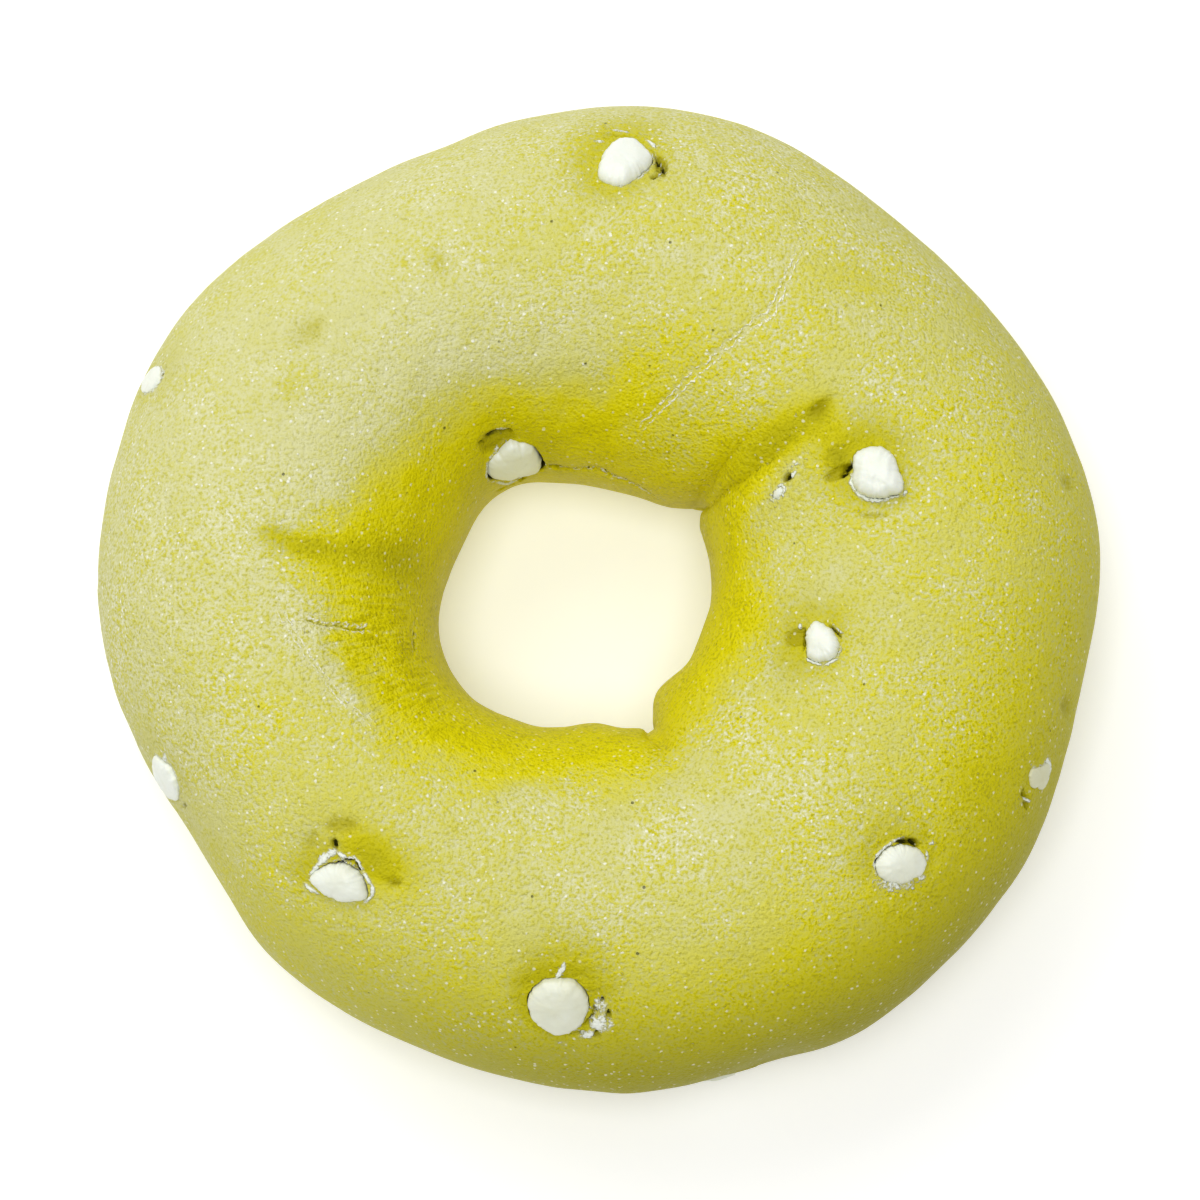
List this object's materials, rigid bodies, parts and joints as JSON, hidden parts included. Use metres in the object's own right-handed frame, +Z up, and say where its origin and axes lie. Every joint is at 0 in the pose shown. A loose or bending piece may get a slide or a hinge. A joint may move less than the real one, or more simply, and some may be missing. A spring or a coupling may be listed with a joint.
{
  "type": "bagel",
  "caption": "Ring of baked green tea dough with white chocolate chips in its skin, lying on its flat underside.",
  "frame": {"origin": "middle of the whole object's box in plan, on the surface that the flat underside lies on", "axes": "+Z up through the hole, +X to the right and +Y away from the viewer as the ring lies on a table"},
  "size_m": [0.1052, 0.1042, 0.0347],
  "materials": {
    "dough": "baked skin, dry satin with a fine bloom of flour",
    "white_chocolate": "satin, softened by baking"
  },
  "bodies": {
    "root": {"dough_ring": "dough", "chip_top": "white_chocolate", "chip_hole_rim": "white_chocolate", "chip_right": "white_chocolate", "chip_inner_right": "white_chocolate", "chip_lower_right": "white_chocolate", "chip_right_side": "white_chocolate", "chip_bottom": "white_chocolate", "chip_lower_left": "white_chocolate", "chip_left_side_low": "white_chocolate", "chip_left_side_high": "white_chocolate", "chip_crumb_right": "white_chocolate", "chip_back_side": "white_chocolate", "chip_front_side": "white_chocolate", "chip_hole_wall": "white_chocolate"}
  },
  "joints": []
}
